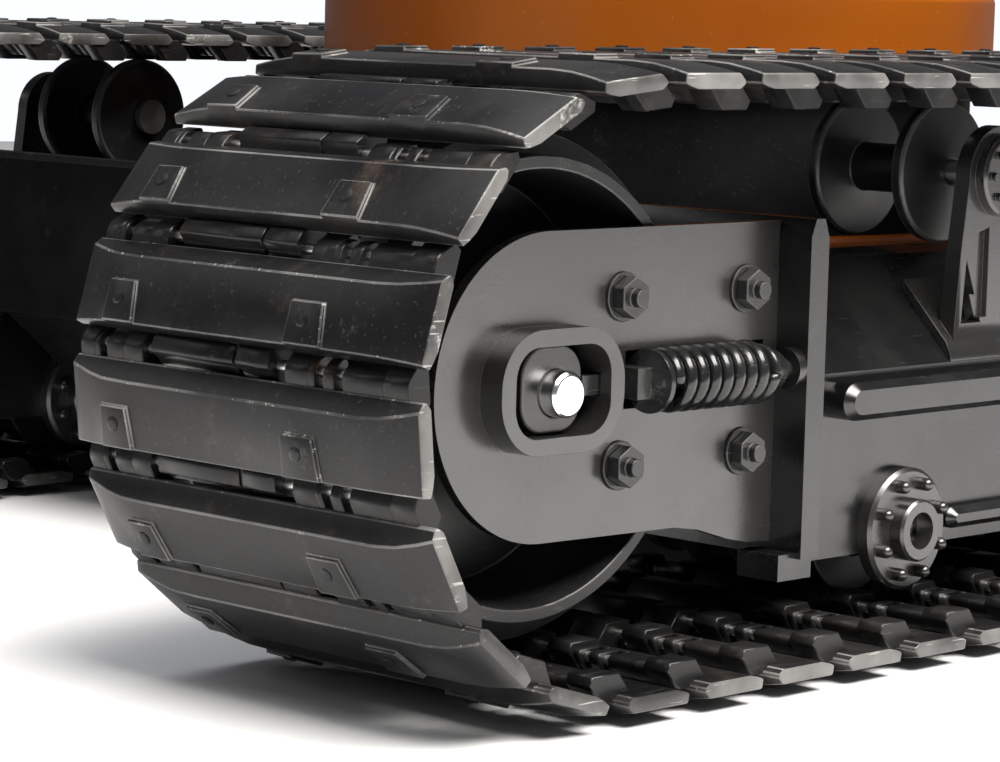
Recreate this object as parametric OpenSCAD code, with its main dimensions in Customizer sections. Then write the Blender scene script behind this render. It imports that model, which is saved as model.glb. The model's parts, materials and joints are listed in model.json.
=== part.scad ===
// Tracked chassis: two chain tracks on side frames, a centre hull and a round housing.
// X runs forwards, Y to the left, Z up; the origin is on the ground below the middle.

/* [Track chain] */
// Distance from hinge pin to hinge pin along the chain
pitch = 12; // [11.5:0.1:12.5]
// Straight links between sprocket and idler, above and below
run_links = 20; // [20:1:21]
// Shoe length across the vehicle, outboard of the chain's centre line
shoe_out = 31; // [29:0.5:33]
// Shoe length across the vehicle, inboard of the chain's centre line
shoe_in = 21.4; // [19:0.2:21.4]
// Radius of the hinge pins
pin_r = 0.6; // [0.5:0.05:0.65]

/* [Stance] */
// Distance from the vehicle's middle to the chain's centre line
track_y = 76.5; // [76:0.5:80]
// Height of the bottom of the hull above the axle line, negative is below
hull_bottom = -18; // [-20:1:-14]

/* [Idler end] */
// Radius of the idler axle
idler_axle_r = 2.5; // [2:0.1:2.6]
// Radius of the rounded front of the guard plates
plate_r = 16.5; // [16:0.1:17]
// How far the idler can be pushed back against its spring
recoil = 2.4; // [1:0.2:2.4]

/* [Rollers] */
// Tread radius of the bottom rollers
roller_r = 7.7; // [7:0.1:7.7]
// Disc radius of the carrier rollers
carrier_r = 8.7; // [8:0.1:8.7]

/* [Hull] */
// Half width of the lower hull
hull_half = 51; // [45:1:52]
// Radius of the round centre housing
housing_r = 49; // [40:1:50]
// Height of the centre housing's top above the axle line
housing_top = 46; // [42:1:60]

/* [Hidden] */
$fn = 48;
sides = 16;                                   // links in one turn round a wheel
step = 360 / sides;
pin_circle = pitch / (2 * sin(step / 2));     // radius of the hinges on a wheel
pin_flat = pin_circle * cos(step / 2);        // middle of a link on a wheel
run_h = (pin_circle + pin_flat) / 2;          // hinge line of the straight runs
phase = 0.24;                                 // part of a pitch between a hinge and the tangent
pad_low = 0.7;                                // shoe pad, measured out from the hinge line
pad_end = 2.8;
crown = 1.3;
pad_high = pad_end + crown;
rail = 1.6;                                   // depth of the knuckles below the hinge line
chain_rise = 1;                               // the slack chain's centre is this far above the axles
axle_z = run_h + pad_high - chain_rise;
idler_x = run_links * pitch / 2;
play = 0.35;                                  // play of the middle knuckle on its pin
barrel_r = 1.6;
mid_half = 9;                                 // half width of the middle knuckle
side_at = 11;                                 // where the side knuckles begin
knuckle_out = shoe_out - 2.4;                 // outboard end of the outboard knuckle
knuckle_in = shoe_in - 0.4;
tread_r = pin_flat - rail - chain_rise - 0.2; // idler tread

frame_half = 16.5;                            // outer faces of the side frame
frame_wall = 2.3;
plate_t = 1.3;
plate_rise = 0.4;                             // guard plates sit this far above the axle
plate_back = 37.4;                            // guard plates end here, behind the idler axle
slot_x = 0.6;                                 // middle of the slot for the axle's slider
slot_l = 14.4;
slot_h = 9.6;
bulkhead_t = 3.1;
bulkhead_half = 21.1;
bulkhead_top = 17.3;
bulkhead_low = -21;
frame_front = plate_back + bulkhead_t;
frame_back = 208;
frame_top = -1;
frame_low = -22.5;
ridge_half = 5;
ridge_top = 11;
roller_z = -20;
roller_first = 60.5;                          // bottom rollers, behind the idler axle
roller_count = 4;
roller_step = (2 * idler_x - 2 * roller_first) / (roller_count - 1);
carrier_at = [79.5, 2 * idler_x - 79.5];      // carrier rollers, behind the idler axle
carrier_z = 21;
rod_w = 18.8;                                 // tension rod, out from the centre line
rod_z = 0.5;
rod_r = 1.1;
spring_r = 3.1;
wire_r = 0.55;
spring_front = 14.1;
spring_back = 34.4;
spring_turns = 7;
bolt_x = [11.5, 31.7];
bolt_z = [9.5, -8.7];
shaft_r = 1.8;
fit = 0.05;                                   // running fit of wheels on shafts
sprocket_x = 2 * idler_x;
motor_r = 11;
motor_end = 37;                               // outboard end of each motor
shaft_fit = 2.49;                             // drive shaft, in a 2.5 hub
hull_front = idler_x - frame_front;
hull_back = -idler_x - 17;
tub_top = 1.5;
tub_wall = 3;
deck_t = 2.5;
bay_rise = 12;                                // height of the raised deck over the motors
deck_top = tub_top + deck_t;
drum_r = 46;                                  // ring on the deck that carries the housing
drum_top = 29;
wall_half = 55.2;                             // front cross wall, between the bulkheads
lid_t = 3;
lid_bolts = 48;                               // spacing of the holes in the housing's lid

SIDES = ["left", "right"];

// ---------- shared shapes ----------

// Puts a part of the left track in place, or its mirror image on the right.
// Inside, X is measured from the idler axle, Y from the chain's centre line
// outwards, and Z from the axle line.
module track(side) {
    mirror([0, side == "right" ? 1 : 0, 0])
        translate([idler_x, track_y, axle_z])
            children();
}

// The same, with Z measured from the chain's centre
module chain(side) {
    track(side) translate([0, 0, chain_rise]) children();
}

// A cylinder along Y between two stations
module bar(r, y0, y1) {
    translate([0, y1, 0]) rotate([90, 0, 0]) cylinder(r = r, h = y1 - y0);
}

// Extrudes an X-Z outline along Y between two stations
module slab(y0, y1) {
    translate([0, y1, 0]) rotate([90, 0, 0]) linear_extrude(y1 - y0) children();
}

// Turns a radius-width outline round the Y axis
module turned() {
    rotate([-90, 0, 0]) rotate_extrude($fn = 96) children();
}

module round_rect(length, height, r) {
    square([length - 2 * r, height], center = true);
    square([length, height - 2 * r], center = true);
    for (x = [-1, 1], z = [-1, 1])
        translate([x * (length / 2 - r), z * (height / 2 - r)]) circle(r = r);
}

// ---------- track chain ----------

// Side view of one knuckle, with its hinge at the origin and the link towards +X
module knuckle_outline(hole_r) {
    difference() {
        union() {
            circle(r = barrel_r);
            polygon([[0, -rail], [2.6, -rail], [4.4, 1.2], [2, 1.2], [0, 1.2]]);
        }
        circle(r = hole_r);
    }
}

// Cross-section of the pad along the chain
module pad_outline() {
    polygon([[-3.6, pad_high], [-4.4, 1.3], [-3.9, pad_low],
             [3.9, pad_low], [4.4, 1.3], [3.6, pad_high]]);
}

// Cross-section of the pad along its length, crowned in the middle
module crown_outline() {
    slope = 0.15 * (shoe_out + shoe_in);
    polygon([[-shoe_in, 0], [shoe_out, 0], [shoe_out, pad_end], [shoe_out - slope, pad_high],
             [slope - shoe_in, pad_high], [-shoe_in, pad_end]]);
}

module link() {
    intersection() {
        slab(-shoe_in - 1, shoe_out + 1) pad_outline();
        translate([-pitch / 2, 0, 0]) rotate([90, 0, 90])
            linear_extrude(pitch) crown_outline();
    }
    translate([pitch / 2, 0, 0]) mirror([1, 0, 0])
        slab(-mid_half, mid_half) knuckle_outline(pin_r + play);
    translate([-pitch / 2, 0, 0]) {
        slab(side_at, knuckle_out) knuckle_outline(pin_r);
        slab(-knuckle_in, -side_at) knuckle_outline(pin_r);
    }
}

module hinge_pin() {
    translate([-pitch / 2, 0, 0]) bar(pin_r, -knuckle_in + 0.3, knuckle_out - 0.5);
}

// Lays out what is given once for every link of a group
module along(group) {
    turn = step * (0.5 - phase);
    if (group == "idler")
        for (i = [0 : sides / 2 - 1])
            rotate([0, turn + step * i, 0]) translate([0, 0, pin_flat]) children();
    if (group == "sprocket")
        for (i = [0 : sides / 2 - 1])
            translate([-sprocket_x, 0, 0]) rotate([0, 180 + turn + step * i, 0])
                translate([0, 0, pin_flat]) children();
    if (group == "upper")
        for (i = [0 : run_links - 1])
            translate([-pitch * (i + 0.5 + phase), 0, run_h]) children();
    if (group == "lower")
        for (i = [0 : run_links - 1])
            translate([-pitch * (i + 0.5 - phase), 0, -run_h]) rotate([0, 180, 0]) children();
}

module shoes(side, group) {
    color([0.10, 0.10, 0.11]) chain(side) along(group) link();
}

module pins(side, group) {
    color([0.55, 0.55, 0.56]) chain(side) along(group) hinge_pin();
}

// ---------- idler and its tensioner ----------

module idler_wheel(side) {
    color([0.08, 0.08, 0.09]) track(side) turned()
        polygon([[idler_axle_r + fit, -13], [6.5, -13], [7.5, -2.5], [22.2, -2.5], [23.3, -15],
                 [24.7, -15], [24.7, -11.5], [tread_r, -10.8], [tread_r, 10.8], [24.7, 11.5],
                 [24.7, 15], [23.3, 15], [22.2, 2.5], [7.5, 2.5], [6.5, 13],
                 [idler_axle_r + fit, 13]]);
}

module idler_axle(side) {
    color([0.80, 0.80, 0.80]) track(side) {
        bar(idler_axle_r, -19.6, 19.6);
        for (s = [-1, 1]) translate([0, s * 19.6, 0]) rotate([-90 * s, 0, 0])
            cylinder(r1 = idler_axle_r, r2 = idler_axle_r - 0.4, h = 0.4);
    }
}

// Blocks that hold the axle and slide in the guard plates' slots
module axle_sliders(side) {
    color([0.10, 0.10, 0.10]) track(side) for (s = [-1, 1]) difference() {
        translate([0, s * frame_half, 0]) slab(-1.3, 1.3) translate([0.5, plate_rise])
            round_rect(9, slot_h - 0.4, 3.2);
        translate([0, s * frame_half, 0]) bar(idler_axle_r, -2, 2);
    }
}

// Fork, cone, spring seat and rod, which slides through the bulkhead
module tension_rod(side) {
    color([0.16, 0.16, 0.17]) track(side) {
        translate([-10.6, rod_w - 2, rod_z - 1.1]) cube([6.6, 1.1, 2.2]);
        translate([-12.4, rod_w - 2, rod_z - 1.7]) cube([2.2, 3.4, 3.4]);
        translate([0, rod_w, rod_z]) rotate([0, -90, 0]) {
            translate([0, 0, 12.3]) cylinder(r1 = 1.5, r2 = 3.3, h = 1);
            translate([0, 0, 13.3]) cylinder(r = 3.5, h = 0.7);
            translate([0, 0, 13]) cylinder(r = rod_r, h = frame_front - 13.7);
        }
    }
}

// The coil, swept round the rod
module recoil_spring(side) {
    ring = 6;
    steps = 12 * spring_turns;
    rise = (spring_back - spring_front - 2 * wire_r) / steps;
    points = [for (i = [0 : steps], k = [0 : ring - 1])
        let (a = 360 * i / 12, b = 360 * k / ring, r = spring_r + wire_r * cos(b))
        [-spring_front - wire_r - i * rise - wire_r * sin(b),
         rod_w + r * cos(a), rod_z + r * sin(a)]];
    skin = [for (i = [0 : steps - 1], k = [0 : ring - 1])
        let (a = i * ring + k, b = i * ring + (k + 1) % ring) each
        [[a, b, b + ring], [a, b + ring, a + ring]]];
    front_cap = [for (k = [1 : ring - 2]) [0, k + 1, k]];
    back_cap = [for (k = [1 : ring - 2])
        [steps * ring, steps * ring + k, steps * ring + k + 1]];
    color([0.13, 0.13, 0.14]) track(side)
        polyhedron(points = points, faces = concat(skin, front_cap, back_cap));
}

// ---------- guard plates and bulkhead ----------

module guard_outline() {
    difference() {
        union() {
            translate([0, plate_rise]) circle(r = plate_r, $fn = 96);
            polygon([[0, plate_r + plate_rise], [-plate_back, plate_r + plate_rise],
                     [-plate_back, -19.4], [-33.5, -19.2], [-30, -18.5], [-25, -17],
                     [-21, -16.4], [0, plate_rise - plate_r]]);
        }
        translate([slot_x, plate_rise]) round_rect(slot_l, slot_h, 3.4);
        translate([-spring_back - 0.8, rod_z - 3.15]) square([spring_back - 11.4, 6.3]);
    }
}

// Guard plate with the raised ring round its slot, seen from outside
module guard_plate() {
    difference() {
        union() {
            slab(frame_half - plate_t, frame_half) guard_outline();
            slab(frame_half, frame_half + 3.2) translate([slot_x, plate_rise]) difference() {
                round_rect(slot_l + 4.2, slot_h + 3.6, 6);
                round_rect(slot_l, slot_h, 3.4);
            }
        }
        translate([-11.2, frame_half + 0.1, rod_z - 1.3]) cube([6, 1.5, 2.6]);
        for (x = bolt_x, z = bolt_z) translate([-x, 0, z]) bar(1, frame_half - 2, frame_half + 1);
    }
}

module outer_guard(side) {
    color([0.15, 0.15, 0.16]) track(side) guard_plate();
}

module inner_guard(side) {
    color([0.15, 0.15, 0.16]) track(side) mirror([0, 1, 0]) guard_plate();
}

// Screws with thin heads inside the plates and hexagon nuts outside
module guard_bolts() {
    color([0.12, 0.12, 0.13]) for (side = SIDES) track(side) for (s = [0, 1]) mirror([0, s, 0])
        for (x = bolt_x, z = bolt_z) translate([-x, 0, z]) {
            bar(1, frame_half - plate_t, frame_half + 3);
            bar(1.9, frame_half - plate_t - 0.5, frame_half - plate_t);
            bar(2.7, frame_half, frame_half + 0.4);
            translate([0, frame_half + 2, 0]) rotate([90, 30, 0])
                cylinder(d = 4 / cos(30), h = 1.6, $fn = 6);
        }
}

module bulkhead(side) {
    color([0.09, 0.09, 0.10]) track(side) difference() {
        union() {
            slab(-bulkhead_half, bulkhead_half)
                polygon([[-plate_back - 0.8, bulkhead_top], [-plate_back, bulkhead_top - 2],
                         [-plate_back, bulkhead_low], [-frame_front, bulkhead_low],
                         [-frame_front, bulkhead_top - 2.2], [-frame_front + 0.8, bulkhead_top]]);
            translate([-frame_front, bulkhead_half - 7, bulkhead_low - 2.4])
                cube([5.8, 6, 3]);
            translate([-plate_back, rod_w, rod_z]) rotate([0, 90, 0]) cylinder(r = 2.3, h = 1.2);
        }
        translate([-plate_back - 10, rod_w, rod_z]) rotate([0, 90, 0])
            cylinder(r = rod_r + fit, h = 20);
    }
}

// ---------- side frame and rollers ----------

// Height of the frame's sloping top at a distance from the chain's centre line
function slope_z(w) =
    frame_top + (frame_half - w) * (ridge_top - frame_top) / (frame_half - ridge_half);

module frame_outline() {
    polygon([[frame_half, frame_low], [frame_half, frame_top], [ridge_half, ridge_top],
             [-ridge_half, ridge_top], [-frame_half, frame_top], [-frame_half, frame_low],
             [frame_wall - frame_half, frame_low], [frame_wall - frame_half, frame_top - 1.4],
             [-ridge_half + 0.7, ridge_top - 2.2], [ridge_half - 0.7, ridge_top - 2.2],
             [frame_half - frame_wall, frame_top - 1.4], [frame_half - frame_wall, frame_low]]);
}

// A raised rib along X with round ends and chamfered edges
module rib(x0, x1, r, rise) {
    translate([x1, 0, 0]) rotate([90, 0, 90]) linear_extrude(x0 - x1)
        polygon([[-0.5, -r], [rise - 1, -r], [rise, 0.8 - r], [rise, r - 0.8], [rise - 1, r],
                 [-0.5, r]]);
    for (x = [x0, x1]) translate([x, 0, 0]) turned()
        polygon([[0, -0.5], [r, -0.5], [r, rise - 1], [r - 0.8, rise], [0, rise]]);
}

module side_frame(side) {
    color([0.13, 0.13, 0.14]) track(side) difference() {
        union() {
            translate([-frame_back, 0, 0]) rotate([90, 0, 90])
                linear_extrude(frame_back - frame_front) frame_outline();
            for (s = [0, 1]) mirror([0, s, 0]) {
                translate([0, frame_half, -4])
                    rib(-frame_front - 7.6, -frame_back + 7.6, 2.2, 4.2);
                for (i = [0 : roller_count - 2])
                    translate([-roller_first - roller_step * i, frame_half, -19.6])
                        rib(-9.5, 9.5 - roller_step, 1.3, 2.2);
            }
        }
        for (i = [0 : roller_count - 1])
            translate([-roller_first - roller_step * i, 0, roller_z])
                bar(shaft_r, -frame_half - 1, frame_half + 1);
    }
}

module bottom_roller(side, i) {
    color([0.09, 0.09, 0.10]) track(side)
        translate([-roller_first - roller_step * (i - 1), 0, roller_z]) turned()
            polygon([[shaft_r + fit, -13.6], [3.6, -13.6], [4.2, -10.6], [roller_r + 0.8, -10.4],
                     [roller_r + 0.8, -9.4], [roller_r, -9.2], [roller_r, -4], [6, -3], [6, 3],
                     [roller_r, 4], [roller_r, 9.2], [roller_r + 0.8, 9.4],
                     [roller_r + 0.8, 10.4], [4.2, 10.6], [3.6, 13.6], [shaft_r + fit, 13.6]]);
}

// Where every bottom roller's axis lies on one side
module at_rollers() {
    for (i = [0 : roller_count - 1])
        translate([-roller_first - roller_step * i, 0, roller_z]) children();
}

module roller_shafts() {
    color([0.45, 0.45, 0.46]) for (side = SIDES) track(side) at_rollers()
        bar(shaft_r, -frame_half - 1.2, frame_half + 1.2);
}

// Bolted caps over the ends of the shafts, with eight round-ended studs each
module roller_caps() {
    face = frame_half + 1.9;
    color([0.16, 0.16, 0.17]) for (side = SIDES) track(side) at_rollers()
        for (s = [0, 1]) mirror([0, s, 0]) {
            turned() polygon([[shaft_r, frame_half], [7.25, frame_half], [7.25, face - 0.4],
                              [6.8, face], [3.7, face], [3.7, face + 1.7], [3.4, face + 2],
                              [2.2, face + 2], [2.2, face - 0.7], [shaft_r, face - 0.7]]);
            for (a = [22.5 : 45 : 360]) rotate([0, a, 0]) translate([5.6, 0, 0]) {
                bar(0.75, face - 0.4, face + 0.9);
                translate([0, face + 0.9, 0]) sphere(r = 0.75, $fn = 24);
            }
        }
}

module carrier_roller(side, i) {
    color([0.10, 0.10, 0.11]) track(side) translate([-carrier_at[i - 1], 0, carrier_z]) turned()
        polygon([[1.5 + fit, -8.5], [3, -8.5], [carrier_r - 0.3, -7.4], [carrier_r, -7.1],
                 [carrier_r, -5.9], [carrier_r - 0.3, -5.6], [3, -5], [3, 5],
                 [carrier_r - 0.3, 5.6], [carrier_r, 5.9], [carrier_r, 7.1],
                 [carrier_r - 0.3, 7.4], [3, 8.5], [1.5 + fit, 8.5]]);
}

// Shafts of the carrier rollers, held at their outer end, with a collar at the inner end
module carrier_shafts() {
    color([0.45, 0.45, 0.46]) for (side = SIDES) track(side) for (x = carrier_at)
        translate([-x, 0, carrier_z]) {
            bar(1.5, -9.9, frame_half - 1);
            bar(2.6, -9.9, -8.8);
        }
}

// Arms with a bolted head, grooved faces and a flange on the side frames' sloping tops
module carrier_brackets() {
    outer = frame_half - 0.8;
    flange_w = ridge_half + 4;
    color([0.17, 0.17, 0.18]) for (side = SIDES) track(side) for (x = carrier_at)
        translate([-x, 0, 0]) difference() {
            union() {
                slab(outer - 2.2, outer) difference() {
                    union() {
                        translate([0, carrier_z]) circle(r = 6);
                        polygon([[-8, frame_top], [-8, 3], [-7.2, 12], [-6, carrier_z],
                                 [6, carrier_z], [7.2, 12], [8, 3], [8, frame_top]]);
                    }
                    for (s = [-1, 1]) polygon([[s * 6, 11], [s * 6.7, 3.4], [s * 2.8, 3.4]]);
                }
                translate([-9.5, 0, 0]) rotate([90, 0, 90]) linear_extrude(19)
                    polygon([[frame_half, frame_top - 0.5], [frame_half, frame_top + 0.7],
                             [outer, slope_z(outer) + 1.5], [flange_w, slope_z(flange_w) + 1.5],
                             [flange_w, slope_z(flange_w) - 0.5]]);
                translate([0, 0, carrier_z]) {
                    turned() polygon([[0, outer - 2.2], [5, outer - 2.2], [5, outer + 1.2],
                                      [4.6, outer + 1.6], [2.2, outer + 1.6],
                                      [2.2, outer + 0.9], [0, outer + 0.9]]);
                    for (a = [0 : 45 : 315]) rotate([0, a, 0]) translate([3.5, 0, 0])
                        bar(0.5, outer + 1.2, outer + 2.2);
                }
            }
            translate([0, 0, carrier_z]) bar(1.5, outer - 3, frame_half - 1);
            for (s = [-1, 1]) slab(outer - 0.8, outer + 0.1)
                polygon([[s * 1.7, 4], [s * 1.7, 14.8], [s * 3.9, 14.2], [s * 4.3, 4]]);
            translate([-11, 0, 0]) rotate([90, 0, 90]) linear_extrude(22)
                polygon([[frame_half + 0.1, frame_top], [frame_half, frame_top],
                         [ridge_half, ridge_top], [ridge_half, frame_top - 2],
                         [frame_half + 0.1, frame_top - 2]]);
        }
}

// ---------- sprocket and drive ----------

module sprocket_tooth() {
    slab(4.5, 7.5) polygon([[-1.9, -5], [-1.9, -1.8], [-1, 0.2], [1, 0.2], [1.9, -1.8], [1.9, -5]]);
}

module sprocket(side) {
    turn = step * (0.5 - phase);
    color([0.10, 0.10, 0.11]) chain(side) translate([-sprocket_x, 0, 0]) {
        turned() polygon([[2.5, -13], [6, -13], [8, -8], [24, -8], [27.6, -7.6], [27.6, -4.4],
                          [24, -4], [24, 4], [27.6, 4.4], [27.6, 7.6], [24, 8], [14, 8],
                          [12.5, 12], [2, 13.5], [2, 9], [2.5, 9]]);
        for (i = [0 : sides - 1], s = [0, 1]) rotate([0, turn + step * i, 0])
            translate([-1.45, 0, pin_flat]) mirror([0, s, 0]) sprocket_tooth();
        for (a = [30 : 60 : 330]) rotate([0, a, 0]) translate([18, 0, 0]) bar(1.6, 7, 9.4);
        bar(shaft_fit, motor_end - track_y + 0.2, 8.9);
    }
}

// Gear casings on the hull's sides, round the sprockets' shafts
module final_drives() {
    color([0.14, 0.14, 0.15]) for (side = SIDES) chain(side) translate([-sprocket_x, 0, 0])
        turned() polygon([[shaft_fit + fit, hull_half - track_y], [15, hull_half - track_y],
                          [15, -22], [12, -18], [9, -14], [shaft_fit + fit, -14]]);
}

// Gear motors inside the hull
module drive_motors() {
    color([0.50, 0.50, 0.52]) for (side = SIDES) chain(side) translate([-sprocket_x, 0, 0])
        bar(motor_r, 4 - track_y, motor_end - track_y);
}

// ---------- hull and housing ----------

// Extrudes an X-Z outline over the hull's width, less a margin on each side
module hull_slab(margin) {
    slab(margin - hull_half, hull_half - margin) children();
}

module hull_tub() {
    color([0.12, 0.12, 0.13]) translate([0, 0, axle_z]) difference() {
        union() {
            hull_slab(0)
                polygon([[hull_front - 14, hull_bottom], [hull_front, hull_bottom + 12],
                         [hull_front, tub_top], [hull_back + 34, tub_top],
                         [hull_back + 28, tub_top + bay_rise], [hull_back, tub_top + bay_rise],
                         [hull_back, hull_bottom + 6], [hull_back + 6, hull_bottom]]);
            slab(-wall_half, wall_half)
                polygon([[hull_front - 1, hull_bottom + 12],
                         [hull_front + bulkhead_t, hull_bottom + 13],
                         [hull_front + bulkhead_t, bulkhead_top - 0.8],
                         [hull_front + bulkhead_t - 0.8, bulkhead_top],
                         [hull_front, bulkhead_top], [hull_front, tub_top],
                         [hull_front - 1, tub_top]]);
            for (x = [-40, 40]) translate([x, 0, -12])
                bar(5, frame_half - track_y, track_y - frame_half);
        }
        hull_slab(tub_wall)
            polygon([[hull_front - 15, hull_bottom + 2.5], [hull_front - 3, hull_bottom + 13],
                     [hull_front - 3, 30], [hull_back + 3, 30], [hull_back + 3, hull_bottom + 7],
                     [hull_back + 7, hull_bottom + 2.5]]);
        translate([-idler_x, 0, chain_rise]) bar(shaft_fit + fit, -hull_half - 1, hull_half + 1);
    }
}

// Bent cover over the tub, raised over the motors, with the ring for the housing
module hull_deck() {
    color([0.13, 0.13, 0.14]) translate([0, 0, axle_z]) difference() {
        union() {
            hull_slab(0)
                polygon([[hull_front, tub_top], [hull_front, deck_top], [hull_back + 35.4, deck_top],
                         [hull_back + 29.4, deck_top + bay_rise],
                         [hull_back + 1.5, deck_top + bay_rise], [hull_back, tub_top + bay_rise],
                         [hull_back + 28, tub_top + bay_rise], [hull_back + 34, tub_top]]);
            rotate_extrude($fn = 128)
                polygon([[drum_r - 4, tub_top + 1], [drum_r, tub_top + 1], [drum_r, drum_top],
                         [drum_r - 4, drum_top]]);
        }
        at_deck_screws() translate([0, 0, -1]) cylinder(r = 1, h = deck_top + 2);
    }
}

module at_deck_screws() {
    for (x = [-96, -66, 66], y = [-1, 1]) translate([x, y * (hull_half - 4.5), 0]) children();
}

module deck_screws() {
    color([0.60, 0.60, 0.60]) translate([0, 0, axle_z]) at_deck_screws()
        translate([0, 0, deck_top]) {
            translate([0, 0, -deck_t]) cylinder(r = 1, h = deck_t);
            rotate_extrude() polygon([[0, 0], [1.9, 0], [1.9, 0.5], [1.4, 1.1], [0, 1.3]]);
        }
}

// Orange shell on the deck's ring, and the skirt round the ring's foot
module turret_housing() {
    color([0.93, 0.45, 0.06]) translate([0, 0, axle_z]) rotate_extrude($fn = 128) {
        polygon([[drum_r - 4, drum_top], [housing_r, drum_top], [housing_r, housing_top - 4],
                 [housing_r - 4, housing_top], [housing_r - 9, housing_top],
                 [housing_r - 9, housing_top - 2], [housing_r - 5, housing_top - 2],
                 [housing_r - 2.5, housing_top - 5], [housing_r - 2.5, drum_top + 2.5],
                 [drum_r - 4, drum_top + 2.5]]);
        polygon([[drum_r, deck_top], [housing_r, deck_top], [housing_r, deck_top + 4.5],
                 [housing_r - 1, deck_top + 5.5], [drum_r, deck_top + 5.5]]);
    }
}

// Lid with four mounting holes and a raised ring seat
module housing_lid() {
    color([0.13, 0.13, 0.14]) translate([0, 0, axle_z + housing_top]) difference() {
        union() {
            cylinder(r = housing_r - 5, h = lid_t, $fn = 96);
            cylinder(r = 24, h = lid_t + 1.5, $fn = 96);
        }
        for (x = [-1, 1], y = [-1, 1]) translate([x, y, 0] * lid_bolts / 2 - [0, 0, 1])
            cylinder(r = 1.6, h = lid_t + 2);
    }
}

// ---------- drawing ----------

hull_tub();
hull_deck();
deck_screws();
turret_housing();
housing_lid();
drive_motors();
final_drives();
guard_bolts();
roller_shafts();
roller_caps();
carrier_shafts();
carrier_brackets();
side_frame("left");  // left_frame
bulkhead("left");  // left_bulkhead
outer_guard("left");  // left_outer_guard
inner_guard("left");  // left_inner_guard
idler_wheel("left");  // left_idler_wheel
idler_axle("left");  // left_idler_axle
axle_sliders("left");  // left_axle_sliders
tension_rod("left");  // left_tension_rod
recoil_spring("left");  // left_recoil_spring
bottom_roller("left", 1);  // left_bottom_roller_1
bottom_roller("left", 2);  // left_bottom_roller_2
bottom_roller("left", 3);  // left_bottom_roller_3
bottom_roller("left", 4);  // left_bottom_roller_4
carrier_roller("left", 1);  // left_carrier_roller_1
carrier_roller("left", 2);  // left_carrier_roller_2
sprocket("left");  // left_sprocket
shoes("left", "idler");  // left_shoes_idler
shoes("left", "sprocket");  // left_shoes_sprocket
shoes("left", "upper");  // left_shoes_upper
shoes("left", "lower");  // left_shoes_lower
pins("left", "idler");  // left_pins_idler
pins("left", "sprocket");  // left_pins_sprocket
pins("left", "upper");  // left_pins_upper
pins("left", "lower");  // left_pins_lower
side_frame("right");  // right_frame
bulkhead("right");  // right_bulkhead
outer_guard("right");  // right_outer_guard
inner_guard("right");  // right_inner_guard
idler_wheel("right");  // right_idler_wheel
idler_axle("right");  // right_idler_axle
axle_sliders("right");  // right_axle_sliders
tension_rod("right");  // right_tension_rod
recoil_spring("right");  // right_recoil_spring
bottom_roller("right", 1);  // right_bottom_roller_1
bottom_roller("right", 2);  // right_bottom_roller_2
bottom_roller("right", 3);  // right_bottom_roller_3
bottom_roller("right", 4);  // right_bottom_roller_4
carrier_roller("right", 1);  // right_carrier_roller_1
carrier_roller("right", 2);  // right_carrier_roller_2
sprocket("right");  // right_sprocket
shoes("right", "idler");  // right_shoes_idler
shoes("right", "sprocket");  // right_shoes_sprocket
shoes("right", "upper");  // right_shoes_upper
shoes("right", "lower");  // right_shoes_lower
pins("right", "idler");  // right_pins_idler
pins("right", "sprocket");  // right_pins_sprocket
pins("right", "upper");  // right_pins_upper
pins("right", "lower");  // right_pins_lower
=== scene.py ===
import json
import math

import bmesh
import bpy
from mathutils import Matrix, Vector


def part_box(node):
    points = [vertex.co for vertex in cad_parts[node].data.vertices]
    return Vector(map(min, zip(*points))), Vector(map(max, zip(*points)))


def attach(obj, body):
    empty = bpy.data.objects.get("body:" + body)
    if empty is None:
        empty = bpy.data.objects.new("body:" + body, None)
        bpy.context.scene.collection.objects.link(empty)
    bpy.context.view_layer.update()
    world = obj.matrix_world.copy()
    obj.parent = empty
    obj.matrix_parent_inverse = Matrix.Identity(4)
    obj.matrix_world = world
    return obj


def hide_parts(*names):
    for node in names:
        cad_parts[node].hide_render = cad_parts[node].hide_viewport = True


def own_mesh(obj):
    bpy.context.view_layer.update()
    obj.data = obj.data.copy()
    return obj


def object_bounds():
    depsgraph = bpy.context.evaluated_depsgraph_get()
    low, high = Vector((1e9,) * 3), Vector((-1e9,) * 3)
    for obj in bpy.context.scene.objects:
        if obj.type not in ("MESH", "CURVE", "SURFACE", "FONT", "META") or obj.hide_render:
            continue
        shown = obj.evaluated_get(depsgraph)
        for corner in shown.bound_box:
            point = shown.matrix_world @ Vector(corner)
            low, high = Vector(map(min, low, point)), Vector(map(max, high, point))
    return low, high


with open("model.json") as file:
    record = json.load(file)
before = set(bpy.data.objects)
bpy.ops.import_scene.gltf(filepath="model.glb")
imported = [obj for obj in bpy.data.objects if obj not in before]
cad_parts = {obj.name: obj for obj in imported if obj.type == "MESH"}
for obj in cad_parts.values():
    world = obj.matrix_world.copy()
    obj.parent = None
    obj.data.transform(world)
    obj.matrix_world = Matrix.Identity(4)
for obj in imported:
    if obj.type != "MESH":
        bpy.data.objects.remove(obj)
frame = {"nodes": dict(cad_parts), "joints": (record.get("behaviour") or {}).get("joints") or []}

nodes = frame["nodes"]
cad_low, cad_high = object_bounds()
joint_at = {j["name"]: Vector(j["pos_m"]) for j in frame["joints"] if "pos_m" in j}
MM = 0.001

# ---------- camera ----------

axle_low, axle_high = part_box("left_idler_axle")
AXLE = (axle_low + axle_high) / 2
CAMERA_FROM_AXLE = Vector((0.2595, 0.2621, 0.0418))
VIEW_DIRECTION = Vector((-0.7122, -0.6927, -0.1134))
VIEW_ROLL = math.radians(1.5)
LENS = 123.6

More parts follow.
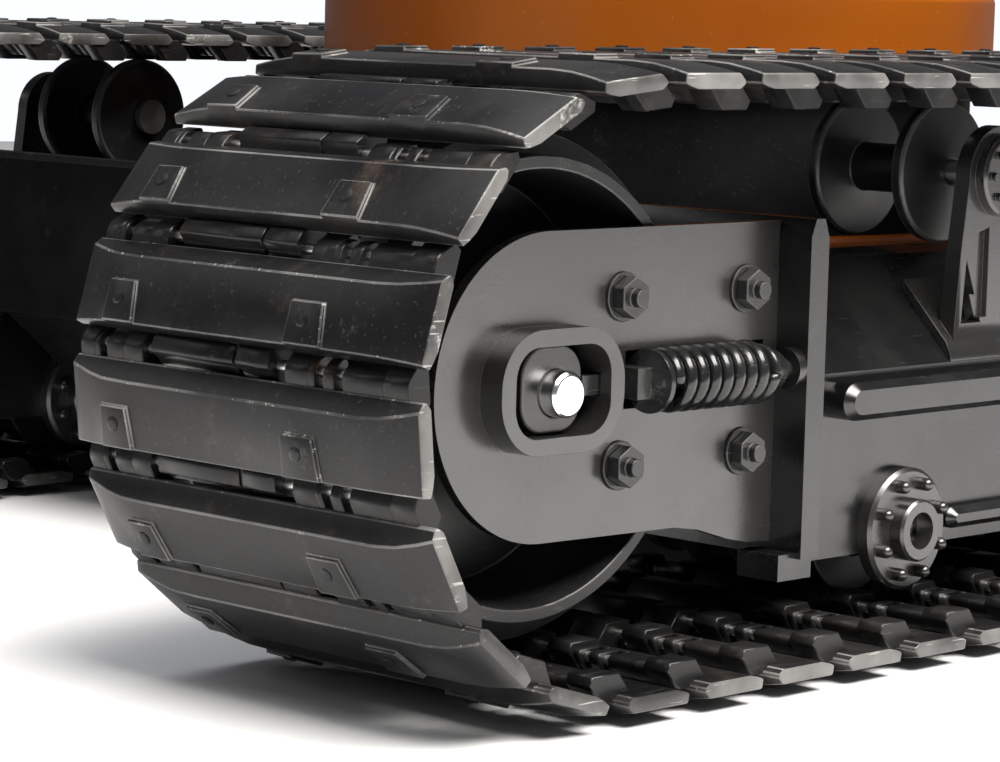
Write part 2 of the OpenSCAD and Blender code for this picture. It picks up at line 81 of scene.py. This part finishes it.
camera_data = bpy.data.cameras.new("camera")
camera_data.lens = LENS
camera_data.sensor_width = 36
camera_data.clip_start = 0.01
camera_data.clip_end = 50
camera = bpy.data.objects.new("camera", camera_data)
bpy.context.scene.collection.objects.link(camera)
camera.rotation_mode = "QUATERNION"
look = VIEW_DIRECTION.to_track_quat("-Z", "Y").to_matrix().to_4x4()
camera.matrix_world = (Matrix.Translation(AXLE + CAMERA_FROM_AXLE) @ look
                       @ Matrix.Rotation(VIEW_ROLL, 4, "Z"))
bpy.context.scene.camera = camera
bpy.context.scene.view_settings.view_transform = "Standard"

# ---------- light and floor ----------


def softbox(name, place, target, width, height, radiance, tint):
    """A rectangular light at place that faces target; its surface shines with that radiance."""
    data = bpy.data.lights.new(name, "AREA")
    data.color = tint
    data.shape = "RECTANGLE"
    data.size = width
    data.size_y = height
    data.energy = radiance * math.pi * width * height
    lamp = bpy.data.objects.new(name, data)
    bpy.context.scene.collection.objects.link(lamp)
    lamp.location = place
    lamp.rotation_mode = "QUATERNION"
    lamp.rotation_quaternion = (Vector(target) - Vector(place)).to_track_quat("-Z", "Y")
    lamp.visible_camera = False


WARM = (1.0, 0.97, 0.93)
COOL = (0.96, 0.97, 1.0)
softbox("key_right", place=(0.06, 0.52, 0.74), target=(0.04, 0.36, 0.0), width=0.9, height=0.5,
        radiance=18.5, tint=WARM)
softbox("overhead", place=(0.20, 0.15, 1.15), target=(0.18, 0.15, 0.0), width=1.6, height=1.6,
        radiance=1.25, tint=COOL)
softbox("window_left", place=(0.90, -1.05, 0.80), target=(0.12, 0.08, 0.03), width=0.9, height=0.5,
        radiance=0.9, tint=COOL)

# The world fills the shadows weakly, and stands behind the object as a bright backdrop.
FILL_STRENGTH = 0.15
BACKDROP_STRENGTH = 1.05

world = bpy.data.worlds.new("studio")
bpy.context.scene.world = world
world.use_nodes = True
background = world.node_tree.nodes["Background"]
background.inputs["Color"].default_value = (0.93, 0.95, 1.0, 1.0)
light_path = world.node_tree.nodes.new("ShaderNodeLightPath")
seen = world.node_tree.nodes.new("ShaderNodeMapRange")
seen.inputs["To Min"].default_value = FILL_STRENGTH
seen.inputs["To Max"].default_value = BACKDROP_STRENGTH
world.node_tree.links.new(light_path.outputs["Is Camera Ray"], seen.inputs["Value"])
world.node_tree.links.new(seen.outputs["Result"], background.inputs["Strength"])

# ---------- materials ----------


class Shader:
    """A Principled material with helpers for wiring procedural nodes into it."""

    def __init__(self, name):
        self.material = bpy.data.materials.new(name)
        self.material.use_nodes = True
        self.tree = self.material.node_tree
        self.principled = self.tree.nodes["Principled BSDF"]
        self.coordinates = self.tree.nodes.new("ShaderNodeTexCoord").outputs["Object"]

    def link(self, source, target):
        """Joins an output to an input."""
        self.tree.links.new(source, target)

    def scaled(self, scale):
        """Object coordinates multiplied by scale along each axis."""
        mapping = self.tree.nodes.new("ShaderNodeMapping")
        mapping.inputs["Scale"].default_value = scale
        self.link(self.coordinates, mapping.inputs["Vector"])
        return mapping.outputs["Vector"]

    def noise(self, scale, detail=2.0, roughness=0.5, stretch=None):
        """A noise texture, drawn out where stretch gives its axes different scales."""
        node = self.tree.nodes.new("ShaderNodeTexNoise")
        node.inputs["Scale"].default_value = scale
        node.inputs["Detail"].default_value = detail
        node.inputs["Roughness"].default_value = roughness
        self.link(self.scaled(stretch) if stretch else self.coordinates, node.inputs["Vector"])
        return node.outputs["Fac"]

    def band(self, value, low, high, to_low=0.0, to_high=1.0):
        """A smooth step of value from low to high."""
        node = self.tree.nodes.new("ShaderNodeMapRange")
        node.interpolation_type = "SMOOTHSTEP"
        for socket, number in zip(("From Min", "From Max", "To Min", "To Max"),
                                  (low, high, to_low, to_high)):
            node.inputs[socket].default_value = number
        self.link(value, node.inputs["Value"])
        return node.outputs["Result"]

    def math(self, operation, a, b):
        """A sum, product or the like of two outputs or numbers."""
        node = self.tree.nodes.new("ShaderNodeMath")
        node.operation = operation
        for socket, value in zip(node.inputs, (a, b)):
            if isinstance(value, (int, float)):
                socket.default_value = value
            else:
                self.link(value, socket)
        return node.outputs["Value"]

    def mix(self, factor, a, b):
        """A colour between a and b, each an output or a tuple."""
        node = self.tree.nodes.new("ShaderNodeMix")
        node.data_type = "RGBA"
        self.link(factor, node.inputs["Factor"])
        for socket, value in ((node.inputs["A"], a), (node.inputs["B"], b)):
            if isinstance(value, tuple):
                socket.default_value = (*value, 1.0)
            else:
                self.link(value, socket)
        return node.outputs["Result"]

    def bump(self, height, strength, distance):
        """Fine relief on the surface, for grain too small to model."""
        node = self.tree.nodes.new("ShaderNodeBump")
        node.inputs["Strength"].default_value = strength
        node.inputs["Distance"].default_value = distance
        self.link(height, node.inputs["Height"])
        self.link(node.outputs["Normal"], self.principled.inputs["Normal"])


SOIL_TONE = (0.11, 0.072, 0.045)
DUST_TONE = (0.5, 0.26, 0.10)


def moulded(name, dark, light, rough, scuff=0.5, scuff_tone=(0.16, 0.155, 0.15), dirt=0.0,
            grain=0.00002, ior=1.5):
    """Black moulded plastic: cloudy tone, fine grain, pale scuffs, hair scratches and dirt."""
    skin = Shader(name)
    clouds = skin.noise(55, 4, 0.6)
    grit = skin.noise(2600, 3, 0.6)
    patches = skin.noise(170, 6, 0.72)
    hairs = skin.noise(60, 2, 0.5, (3.0, 42.0, 42.0))
    marks = skin.math("MULTIPLY", skin.band(patches, 0.585, 0.70), skin.band(grit, 0.40, 0.62))
    lines = skin.math("MULTIPLY", skin.band(hairs, 0.665, 0.70), 0.6)
    worn = skin.math("MULTIPLY", skin.math("MAXIMUM", marks, lines), scuff)
    colour = skin.mix(skin.band(clouds, 0.35, 0.68), dark, light)
    if dirt:
        soil = skin.math("MULTIPLY", skin.band(skin.noise(95, 5, 0.7), 0.57, 0.72), dirt)
        colour = skin.mix(soil, colour, SOIL_TONE)
    skin.link(skin.mix(worn, colour, scuff_tone), skin.principled.inputs["Base Color"])
    cloudy = skin.band(clouds, 0.3, 0.7, rough - 0.05, rough + 0.06)
    skin.link(skin.math("ADD", cloudy, skin.math("MULTIPLY", worn, 0.25)),
           skin.principled.inputs["Roughness"])
    relief = skin.math("ADD", grit, skin.math("MULTIPLY", patches, 1.5))
    skin.bump(relief, 0.5, grain)
    skin.principled.inputs["IOR"].default_value = ior
    return skin.material


def metal(name, tone, rough, stretch=(1.0, 1.0, 1.0)):
    """Drawn or polished metal with fine lines and a little tarnish."""
    skin = Shader(name)
    lines = skin.noise(1500, 3, 0.6, stretch)
    tarnish = skin.noise(220, 4, 0.6)
    dull = tuple(0.72 * c for c in tone)
    skin.link(skin.mix(skin.band(tarnish, 0.45, 0.75), tone, dull), skin.principled.inputs["Base Color"])
    skin.principled.inputs["Metallic"].default_value = 1.0
    skin.link(skin.band(tarnish, 0.3, 0.75, rough, rough + 0.14), skin.principled.inputs["Roughness"])
    skin.bump(lines, 0.35, 0.00001)
    return skin.material


def painted(name, tone, deep, rough):
    """Glossy paint with faint orange peel and a little dust."""
    skin = Shader(name)
    drift = skin.noise(14, 3, 0.5)
    specks = skin.math("MULTIPLY", skin.band(skin.noise(2200, 2, 0.5), 0.72, 0.76), 0.5)
    colour = skin.mix(skin.band(drift, 0.35, 0.65), tone, deep)
    skin.link(skin.mix(specks, colour, DUST_TONE), skin.principled.inputs["Base Color"])
    skin.link(skin.band(drift, 0.3, 0.7, rough, rough + 0.08), skin.principled.inputs["Roughness"])
    skin.bump(skin.noise(420, 2, 0.5), 0.25, 0.00004)
    skin.principled.inputs["Specular IOR Level"].default_value = 0.25
    skin.principled.inputs["Coat Weight"].default_value = 0.12
    skin.principled.inputs["Coat Roughness"].default_value = 0.12
    return skin.material


FINISHES = {
    "track_plastic": moulded("track_black", (0.004, 0.004, 0.0045), (0.011, 0.0105, 0.0102),
                             0.34, 0.2, dirt=0.2, ior=1.36),
    "frame_plastic": moulded("frame_black", (0.0025, 0.0025, 0.003), (0.005, 0.0048, 0.0046),
                             0.28, 0.1, ior=1.66),
    "guard_plastic": moulded("guard_black", (0.013, 0.0126, 0.0122), (0.018, 0.0172, 0.0164),
                             0.27, 0.07, grain=0.00001, ior=1.78),
    "wheel_plastic": moulded("wheel_black", (0.005, 0.005, 0.0055), (0.009, 0.009, 0.0095),
                             0.40, 0.2),
    "bolt_plastic": moulded("bolt_black", (0.008, 0.008, 0.0085), (0.018, 0.018, 0.018), 0.24,
                            0.2),
    "polished_steel": metal("polished_steel", (0.92, 0.92, 0.91), 0.10),
    "pin_steel": metal("pin_steel", (0.62, 0.61, 0.60), 0.3, (6.0, 0.3, 6.0)),
    "dark_steel": moulded("rod_black", (0.008, 0.008, 0.0085), (0.018, 0.018, 0.018), 0.22, 0.2),
    "spring_steel": moulded("spring_black", (0.006, 0.006, 0.0065), (0.014, 0.014, 0.014), 0.2,
                            0.2),
    "motor_metal": metal("motor_metal", (0.55, 0.55, 0.57), 0.34),
    "orange_plastic": painted("orange_paint", (0.25, 0.062, 0.001), (0.16, 0.035, 0.001), 0.24),
}
# Painted shade: the hull's black plastic is made matte and barely reflective (IOR 1.15, roughness 0.5).
# This stands in for the shade that a superstructure above the hull, which is not built here, would cast
# on it.
HULL_PAINTED_SHADE = moulded("hull_black_painted_shade", (0.003, 0.003, 0.0033), (0.006, 0.006, 0.0062), 0.5, 0.1, ior=1.15)
HULL_NODES = ("hull_tub", "hull_deck")
WORN = moulded("worn_edge", (0.02, 0.019, 0.018), (0.15, 0.145, 0.14), 0.42, 0.9,
               (0.4, 0.39, 0.37), grain=0.00005)
EDGE = moulded("soft_edge", (0.028, 0.027, 0.027), (0.07, 0.068, 0.066), 0.34, 0.6,
               (0.2, 0.195, 0.19))

# ---------- CAD nodes: clean normals, small rounded edges, finishes ----------

WELD_DISTANCE = 2e-6


def clean_group():
    """A modifier tree that joins split corners and drops the imported normals."""
    group = bpy.data.node_groups.new("clean_mesh", "GeometryNodeTree")
    group.interface.new_socket("Geometry", in_out="INPUT", socket_type="NodeSocketGeometry")
    group.interface.new_socket("Geometry", in_out="OUTPUT", socket_type="NodeSocketGeometry")
    chain = [group.nodes.new("NodeGroupInput")]
    drop = group.nodes.new("GeometryNodeRemoveAttribute")
    drop.inputs["Name"].default_value = "custom_normal"
    chain.append(drop)
    merge = group.nodes.new("GeometryNodeMergeByDistance")
    merge.inputs["Distance"].default_value = WELD_DISTANCE
    chain.append(merge)
    for domain in ("FACE", "EDGE"):
        smooth = group.nodes.new("GeometryNodeSetShadeSmooth")
        smooth.domain = domain
        chain.append(smooth)
    chain.append(group.nodes.new("NodeGroupOutput"))
    for first, second in zip(chain, chain[1:]):
        group.links.new(first.outputs[0], second.inputs[0])
    return group


CLEAN = clean_group()
ROUNDING_MM = {"track_plastic": 0, "polished_steel": 0.15, "pin_steel": 0.0, "bolt_plastic": 0.14,
               "guard_plastic": 0.38, "frame_plastic": 0.3, "wheel_plastic": 0.18,
               "dark_steel": 0.12, "spring_steel": 0, "motor_metal": 0.4, "orange_plastic": 0.5}
CAP_ROUNDING_MM = 0.12
SOFT_EDGED = ("guard_plastic", "frame_plastic", "bolt_plastic", "wheel_plastic")
FLAT_ANGLE = math.radians(1)
ROUNDED_ANGLE = math.radians(33)


def dress(node):
    """Gives a CAD node its finish, joined corners and rounded edges."""
    piece = nodes[node]
    slot = piece.material_slots[0].material.name.split(".")[0]
    # Hull nodes take the dulled hull finish, which is painted shade.
    piece.material_slots[0].material = HULL_PAINTED_SHADE if node in HULL_NODES else FINISHES[slot]
    width = CAP_ROUNDING_MM if node.startswith("roller_caps") else ROUNDING_MM[slot]
    if not width:
        return
    piece.modifiers.new("clean", "NODES").node_group = CLEAN
    flat = piece.modifiers.new("flat", "DECIMATE")
    flat.decimate_type = "DISSOLVE"
    flat.angle_limit = FLAT_ANGLE
    rounding = piece.modifiers.new("rounding", "BEVEL")
    rounding.width = width * MM
    rounding.segments = 2
    rounding.limit_method = "ANGLE"
    rounding.angle_limit = ROUNDED_ANGLE
    rounding.harden_normals = True
    rounding.use_clamp_overlap = True
    if slot in SOFT_EDGED:
        piece.data.materials.append(EDGE)
        rounding.material = 1


for name in nodes:
    if "_shoes_" not in name and "recoil_spring" not in name:
        dress(name)

# ---------- track links ----------

# A link is drawn in millimetres: u along the chain, w outboard, v outwards from the hinge line.
PITCH = 12.0
HALF_PITCH = PITCH / 2
LINKS_PER_TURN = 16
STEP = 2 * math.pi / LINKS_PER_TURN
PIN_CIRCLE = PITCH / (2 * math.sin(STEP / 2))
PIN_FLAT = PIN_CIRCLE * math.cos(STEP / 2)
RUN_HEIGHT = (PIN_CIRCLE + PIN_FLAT) / 2
PHASE = 0.24                     # part of a pitch between a hinge and the tangent
SHOE_IN = -21.4
SHOE_OUT = 31.0
PAD_HALF = 4.7                   # half width of the pad at its widest
FOOT_HALF = 3.9                  # half width just above its underside
FOOT_V = 0.7                     # height of the underside
HEEL = ((FOOT_HALF, 1.0), (2.6, FOOT_V))
NOSE_LOW = 1.2                   # the leading side stands upright from here
NOSE_HIGH = 1.6                  # to here, where its chamfer begins
TAIL_V = 1.3                     # widest line of the trailing side
CROWN_LOW = 2.35
CROWN_RISE = 1.1
CROWN_RUN = 0.15 * (SHOE_OUT - SHOE_IN)
BOSS_RAISE = 0.45
BOSSES = ((-15.6, -11.6), (12.4, 17.0))
BOSS_U = -0.2                    # a boss reaches from here to the trailing side
BOSS_SLANT = 0.8
BOLTS_W = (-13.6, 14.6)
BOLT_U = 1.7
BOLT_SUNK = 0.05
BOLT_SIDES = 12
BOLT_PROFILE = ((0.8, 0.0), (0.8, 0.12), (0.66, 0.2), (0.3, 0.24))
PAD_EDGE = 0.17
KNUCKLE_EDGE = 0.14
SHARP_ANGLE = math.radians(28)
CREASE_ANGLE = math.radians(40)


def angles(count):
    """Angles of count equal steps round a circle."""
    return [k * math.pi / (count / 2) for k in range(count)]


def crown_height(w):
    """Height of the pad's top face at w, which falls away towards both ends."""
    near_end = min(w - SHOE_IN, SHOE_OUT - w)
    return CROWN_LOW + CROWN_RISE * math.sin(math.pi / 2 * min(1.0, near_end / CROWN_RUN))


def flank(v):
    """Half width of the pad at height v, on its trailing side, which leans in slightly."""
    return PAD_HALF - (v - TAIL_V) * 0.5 / 2.8


def chamfer(v):
    """The same on its leading side, which has a broad sloping edge."""
    return PAD_HALF - 0.1 - (v - NOSE_HIGH) * 0.95


def pad_stations():
    """Stations along the pad as (w, height of the boss there, slant of its end)."""
    plain = [SHOE_IN, SHOE_IN + 1.2, SHOE_IN + 3.4, 0.0, 23.1, 26.0, 28.8, SHOE_OUT]
    stations = [(w, 0.0, 0.0) for w in plain]
    for start, end in BOSSES:
        stations += [(start, 0.0, 0.0), (start, BOSS_RAISE, 0.0),
                     (end, BOSS_RAISE, BOSS_SLANT), (end, 0.0, BOSS_SLANT)]
    return sorted(stations, key=lambda station: station[0])


def add_loft(bm, loops):
    """Skins closed loops of points, caps both ends and returns the caps."""
    rings = [[bm.verts.new(p) for p in loop] for loop in loops]
    count = len(loops[0])
    for first, second in zip(rings, rings[1:]):
        for k in range(count):
            n = (k + 1) % count
            bm.faces.new((first[k], first[n], second[n], second[k]))
    return [bm.faces.new(list(reversed(rings[0]))), bm.faces.new(rings[-1])]


def finish_solid(bm, width, segments, edge_slot):
    """Welds, orients and rounds a solid's sharp edges, which take slot edge_slot."""
    bmesh.ops.remove_doubles(bm, verts=bm.verts, dist=1e-4)
    bmesh.ops.dissolve_degenerate(bm, edges=bm.edges, dist=1e-4)
    bmesh.ops.recalc_face_normals(bm, faces=bm.faces)
    bm.normal_update()
    sharp = [e for e in bm.edges if e.is_manifold and e.calc_face_angle() > SHARP_ANGLE]
    bmesh.ops.bevel(bm, geom=sharp, offset=width, segments=segments, profile=0.5,
                    affect="EDGES", clamp_overlap=True, material=edge_slot)


def as_mesh(bm, name):
    """Turns a bmesh into a mesh and frees it."""
    mesh = bpy.data.meshes.new(name)
    bm.to_mesh(mesh)
    bm.free()
    return mesh


def pad_mesh():
    """The crowned pad of a link with its two bosses; its ends and edges are worn."""
    bm = bmesh.new()
    loops = []
    for w, rise, slant in pad_stations():
        top = crown_height(w)
        high = top + rise
        loops.append([(-FOOT_HALF, w, FOOT_V), (-PAD_HALF, w, NOSE_LOW), (-PAD_HALF, w, NOSE_HIGH),
                      (-chamfer(top), w, top), (BOSS_U, w, top), (BOSS_U, w, high),
                      (flank(high), w + slant, high), (PAD_HALF, w, TAIL_V)]
                     + [(u, w, v) for u, v in HEEL])
    for cap in add_loft(bm, loops):
        cap.material_index = 1
    finish_solid(bm, PAD_EDGE, 2, edge_slot=1)
    return as_mesh(bm, "pad")


def bolt_mesh(w):
    """A low domed bolt head on a boss."""
    bm = bmesh.new()
    low = crown_height(w) + BOSS_RAISE - BOLT_SUNK
    loops = []
    for radius, height in BOLT_PROFILE:
        loops.append([(BOLT_U + radius * math.cos(a), w + radius * math.sin(a), low + height)
                      for a in angles(BOLT_SIDES)])
    add_loft(bm, loops)
    bmesh.ops.recalc_face_normals(bm, faces=bm.faces)
    return as_mesh(bm, "bolt")


# Side views of the knuckles, with the hinge at the origin and the link towards +u
LUG = [(-2.4, -0.6), (-1.8, -1.6), (2.2, -1.6), (4.3, 1.0), (4.3, 1.4), (1.6, 1.4),
       (0.8, 1.5), (-0.2, 1.45), (-0.8, 1.05), (-1.4, 0.4), (-1.85, -0.1)]
BLOCK = [(-1.6, -0.45), (-1.2, -0.9), (2.2, -0.9), (4.2, 1.0), (4.2, 1.4), (1.5, 1.4),
         (0.7, 1.45), (-0.3, 1.4), (-0.8, 0.95), (-1.35, 0.2)]
BAR = [(-1.7, -0.7), (-1.4, -1.6), (2.3, -1.6), (4.3, 1.0), (4.3, 1.4), (1.3, 1.5),
       (1.1, 1.8), (0.85, 1.95), (-0.45, 1.95), (-0.75, 1.75), (-0.95, 0.8), (-1.5, 0.2)]
WEB = [(1.7, -0.9), (2.2, -0.9), (4.2, 1.0), (4.2, 1.35), (1.7, 1.35)]
NECK = [(-1.2, -0.9), (-1.0, -1.3), (2.2, -1.4), (4.2, 1.0), (4.2, 1.3), (1.2, 1.6),
        (-0.5, 1.6), (-0.95, 0.7)]
# Each knuckle: its outline, where its hinge is, and where it starts and ends along w
KNUCKLES = (
    (BAR, HALF_PITCH, -9.0, 3.6), (BAR, HALF_PITCH, 4.1, 9.0),
    (NECK, HALF_PITCH, 3.5, 4.2), (LUG, -HALF_PITCH, 11.0, 14.4),
    (BLOCK, -HALF_PITCH, 14.3, 15.2), (WEB, -HALF_PITCH, 15.1, 16.6),
    (BLOCK, -HALF_PITCH, 16.5, 18.0), (WEB, -HALF_PITCH, 17.9, 19.4),
    (BLOCK, -HALF_PITCH, 19.3, 25.2), (LUG, -HALF_PITCH, 25.1, 28.6),
    (LUG, -HALF_PITCH, -21.0, -18.6), (BLOCK, -HALF_PITCH, -18.7, -18.0),
    (WEB, -HALF_PITCH, -18.1, -16.7), (BLOCK, -HALF_PITCH, -16.8, -13.9),
    (LUG, -HALF_PITCH, -14.0, -11.0),
)


def knuckle_mesh(outline, hinge, start, end):
    """A knuckle from w = start to end; its outline runs from its hinge to the link's middle."""
    bm = bmesh.new()
    toward = -1 if hinge > 0 else 1
    loops = []
    for w in (start, (start + end) / 2, end):
        loops.append([(hinge + toward * u, w, v) for u, v in outline])
    add_loft(bm, loops)
    finish_solid(bm, KNUCKLE_EDGE, 1, edge_slot=0)
    return as_mesh(bm, "knuckle")


def link_template():
    """Vertices, faces and material slots of one link's solids."""
    parts = [pad_mesh()] + [bolt_mesh(w) for w in BOLTS_W]
    parts += [knuckle_mesh(*knuckle) for knuckle in KNUCKLES]
    vertices, faces, slots = [], [], []
    for mesh in parts:
        start = len(vertices)
        vertices += [v.co.copy() for v in mesh.vertices]
        faces += [tuple(start + i for i in p.vertices) for p in mesh.polygons]
        slots += [p.material_index for p in mesh.polygons]
        bpy.data.meshes.remove(mesh)
    return vertices, faces, slots


def link_places(group, idler, sprocket):
    """Placing matrices of a group's links on the left side, in metres."""
    turn = STEP * (0.5 - PHASE)
    half_turn = Matrix.Rotation(math.pi, 4, "Y")
    outward = Matrix.Translation((0, 0, PIN_FLAT * MM))
    if group in ("idler", "sprocket"):
        wheel = Matrix.Translation(idler)
        if group == "sprocket":
            wheel = Matrix.Translation(sprocket) @ half_turn
        return [wheel @ Matrix.Rotation(turn + STEP * i, 4, "Y") @ outward
                for i in range(LINKS_PER_TURN // 2)]
    places = []
    for i in range(round((idler - sprocket).length / (PITCH * MM))):
        if group == "upper":
            offset = Vector((-PITCH * (i + 0.5 + PHASE), 0, RUN_HEIGHT)) * MM
            places.append(Matrix.Translation(idler + offset))
        else:
            offset = Vector((-PITCH * (i + 0.5 - PHASE), 0, -RUN_HEIGHT)) * MM
            places.append(Matrix.Translation(idler + offset) @ half_turn)
    return places


def build_links(side, group, body, template):
    """The links of one group as one piece, in place of that group's CAD shoes."""
    vertices, faces, slots = template
    idler = joint_at["left_chain_idler_turn"]
    sprocket = joint_at["left_drive_turn"]
    mirror = Matrix.Diagonal((1, -1 if side == "right" else 1, 1, 1))
    all_vertices, all_faces, all_slots = [], [], []
    for place in link_places(group, idler, sprocket):
        matrix = mirror @ place @ Matrix.Scale(MM, 4)
        start = len(all_vertices)
        all_vertices += [matrix @ v for v in vertices]
        for face in faces:
            shifted = [start + i for i in face]
            all_faces.append(tuple(reversed(shifted)) if side == "right" else tuple(shifted))
        all_slots += slots
    mesh = bpy.data.meshes.new(f"{side}_links_{group}")
    mesh.from_pydata(all_vertices, [], all_faces)
    mesh.materials.append(FINISHES["track_plastic"])
    mesh.materials.append(WORN)
    mesh.polygons.foreach_set("material_index", all_slots)
    mesh.set_sharp_from_angle(angle=CREASE_ANGLE)
    piece = bpy.data.objects.new(f"{side}_links_{group}", mesh)
    bpy.context.scene.collection.objects.link(piece)
    for polygon in mesh.polygons:
        polygon.use_smooth = True
    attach(piece, body)
    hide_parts(f"{side}_shoes_{group}")


TEMPLATE = link_template()
BODY_OF_GROUP = {"idler": "chain_idler", "sprocket": "drive", "upper": "chain_upper",
                 "lower": "chain_lower"}
for side in ("left", "right"):
    for group, body in BODY_OF_GROUP.items():
        build_links(side, group, f"{side}_{body}", TEMPLATE)

# ---------- recoil springs ----------

SPRING_TURNS = 8
COLLAR_MM = 2.6                  # room at the back for the collar
COLLAR_SIDES = 36
# Steps of the collar, from its back end: millimetres forward, and share of the coil's radius
COLLAR = ((0.0, 0.66), (0.25, 0.74), (1.3, 0.78), (2.2, 0.97), (2.7, 1.0), (3.0, 0.94), (3.0, 0.5))
SPRING_SEGMENTS = 26
WIRE_SIDES = 10
WIRE_AXIAL = 0.8
WIRE_RADIAL = 0.6


def build_spring(side):
    """A coil of flattened wire with a collar, which together fill their CAD node's box."""
    low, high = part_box(f"{side}_recoil_spring")
    centre = (low + high) / 2
    radius = (high.z - low.z) / 2 - WIRE_RADIAL * MM
    length = high.x - low.x - (2 * WIRE_AXIAL + COLLAR_MM) * MM
    steps = SPRING_TURNS * SPRING_SEGMENTS
    bm = bmesh.new()
    loops = []
    for i in range(steps + 1):
        turn = 2 * math.pi * i / SPRING_SEGMENTS
        x = high.x - WIRE_AXIAL * MM - length * i / steps
        loop = []
        for k in range(WIRE_SIDES):
            a = 2 * math.pi * k / WIRE_SIDES
            r = radius + WIRE_RADIAL * MM * math.cos(a)
            loop.append((x + WIRE_AXIAL * MM * math.sin(a), centre.y + r * math.cos(turn),
                         centre.z + r * math.sin(turn)))
        loops.append(loop)
    add_loft(bm, loops)
    rings = []
    for forward, share in COLLAR:
        rings.append([(low.x + forward * MM, centre.y + share * radius * math.cos(a),
                       centre.z + share * radius * math.sin(a))
                      for a in angles(COLLAR_SIDES)])
    add_loft(bm, rings)
    bmesh.ops.recalc_face_normals(bm, faces=bm.faces)
    mesh = as_mesh(bm, f"{side}_coil")
    for polygon in mesh.polygons:
        polygon.use_smooth = len(polygon.vertices) == 4
    mesh.materials.append(FINISHES["spring_steel"])
    coil = bpy.data.objects.new(f"{side}_coil", mesh)
    bpy.context.scene.collection.objects.link(coil)
    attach(coil, f"{side}_idler_carriage")
    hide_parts(f"{side}_recoil_spring")
    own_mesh(coil)


for side in ("left", "right"):
    build_spring(side)

# ---------- floor ----------

FLOOR_RADIUS = 1.1
FLOOR_SIDES = 64
floor_mesh = bmesh.new()
rim = [floor_mesh.verts.new((FLOOR_RADIUS * math.cos(a), FLOOR_RADIUS * math.sin(a), cad_low.z))
       for a in angles(FLOOR_SIDES)]
floor_mesh.faces.new(rim)
floor = bpy.data.objects.new("floor", as_mesh(floor_mesh, "floor"))
bpy.context.scene.collection.objects.link(floor)
paper = Shader("floor_paper")
paper.link(paper.mix(paper.noise(3, 2, 0.5), (0.82, 0.82, 0.82), (0.86, 0.86, 0.855)),
           paper.principled.inputs["Base Color"])
paper.principled.inputs["Roughness"].default_value = 0.6
floor.data.materials.append(paper.material)
